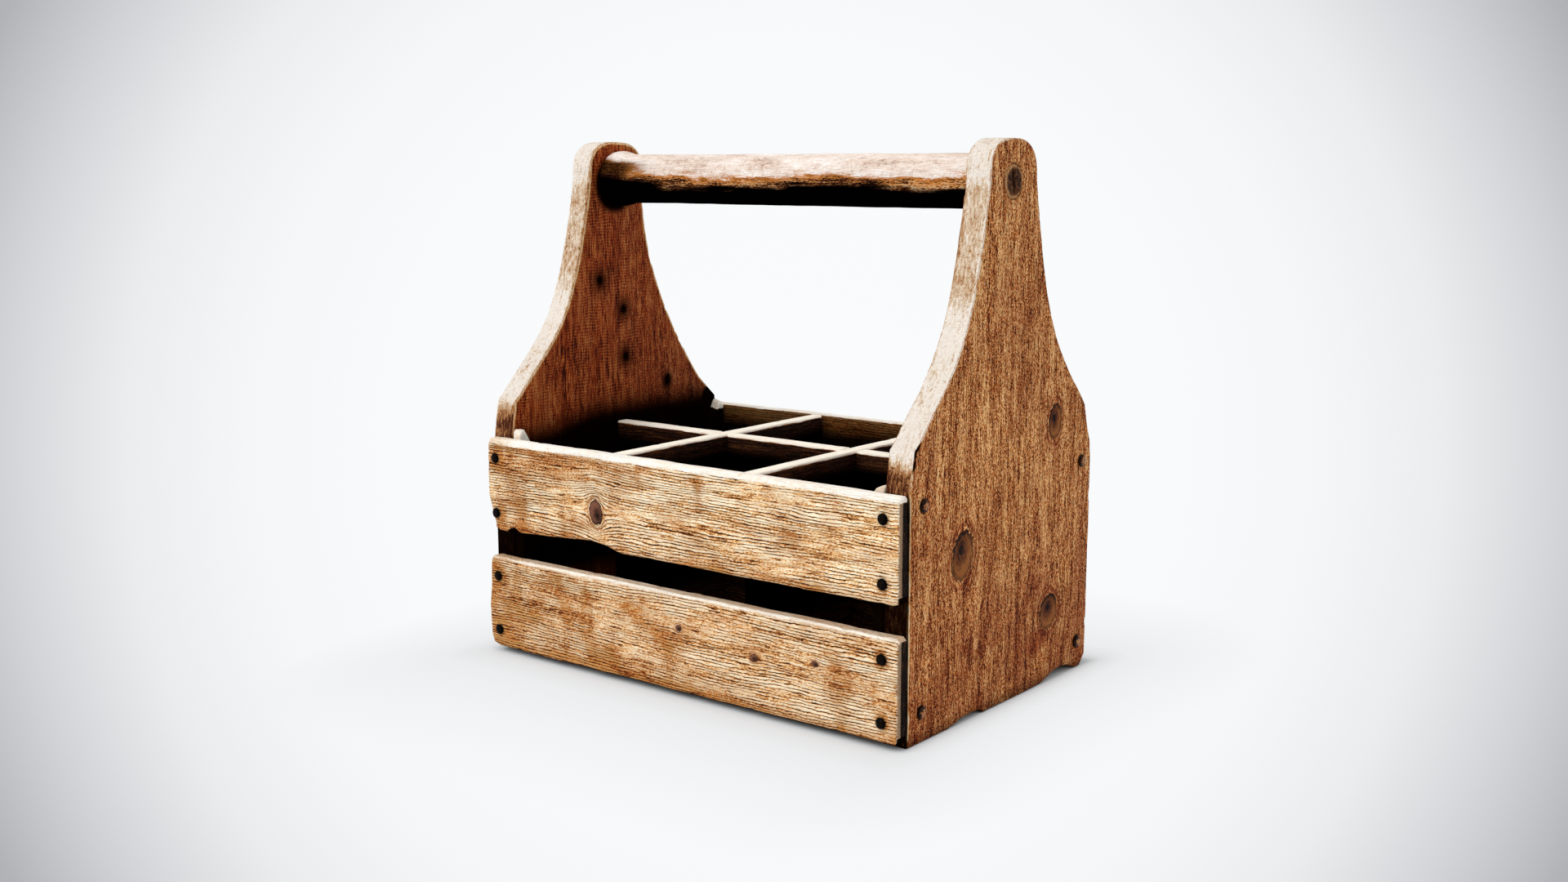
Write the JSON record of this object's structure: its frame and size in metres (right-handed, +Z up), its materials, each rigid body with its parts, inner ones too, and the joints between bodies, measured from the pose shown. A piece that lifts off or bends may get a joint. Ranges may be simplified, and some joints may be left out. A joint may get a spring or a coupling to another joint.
{
  "type": "wooden tool caddy",
  "caption": "Open wooden carrying box: shaped end boards, nailed slats along the front and back, a round handle bar across the top and a divider grid that lifts out.",
  "frame": {"origin": "on the floor, under the middle of the caddy", "axes": "+X along the handle to the right end panel, -Y out of the front slats, +Z up"},
  "size_m": [0.3896, 0.267, 0.39],
  "materials": {
    "panel_wood": "red-brown stained softwood, worn pale on its arrises",
    "slat_wood": "weathered golden softwood with a ridged grain, worn cream on its upper edges",
    "handle_wood": "turned dowel, bleached grey on top and orange-brown below",
    "floor_wood": "dark stained softwood",
    "post_wood": "stained softwood, worn pale at the top",
    "divider_wood": "dark stained softwood, worn cream along the top edges",
    "black_iron": "blackened nail iron",
    "brown_iron": "brown rusted nail iron"
  },
  "bodies": {
    "caddy": {"end_panel_left": "panel_wood", "end_panel_right": "panel_wood", "handle": "handle_wood", "slat_front_lower": "slat_wood", "slat_front_upper": "slat_wood", "slat_back_lower": "slat_wood", "slat_back_upper": "slat_wood", "bottom_board": "floor_wood", "corner_post_front_left": "post_wood", "corner_post_front_right": "post_wood", "corner_post_back_left": "post_wood", "corner_post_back_right": "post_wood", "slat_nail_front_lower_left_bottom": "black_iron", "slat_nail_front_lower_left_top": "black_iron", "slat_nail_front_lower_right_bottom": "black_iron", "slat_nail_front_lower_right_top": "black_iron", "slat_nail_front_upper_left_bottom": "black_iron", "slat_nail_front_upper_left_top": "black_iron", "slat_nail_front_upper_right_bottom": "black_iron", "slat_nail_front_upper_right_top": "black_iron", "slat_nail_back_lower_left_bottom": "black_iron", "slat_nail_back_lower_left_top": "black_iron", "slat_nail_back_lower_right_bottom": "black_iron", "slat_nail_back_lower_right_top": "black_iron", "slat_nail_back_upper_left_bottom": "black_iron", "slat_nail_back_upper_left_top": "black_iron", "slat_nail_back_upper_right_bottom": "black_iron", "slat_nail_back_upper_right_top": "black_iron", "post_nail_left_front": "brown_iron", "post_nail_left_back": "brown_iron", "post_nail_right_front": "brown_iron", "post_nail_right_back": "brown_iron", "floor_nail_left_front": "brown_iron", "floor_nail_left_back": "brown_iron", "floor_nail_right_front": "brown_iron", "floor_nail_right_back": "brown_iron"},
    "divider_grid": {"divider_long": "divider_wood", "divider_cross_left": "divider_wood", "divider_cross_right": "divider_wood"}
  },
  "joints": [
    {"name": "divider_lift", "type": "slide", "parent": "caddy", "child": "divider_grid", "axis": [0, 0, 1], "range_m": [0, 0.165]}
  ]
}
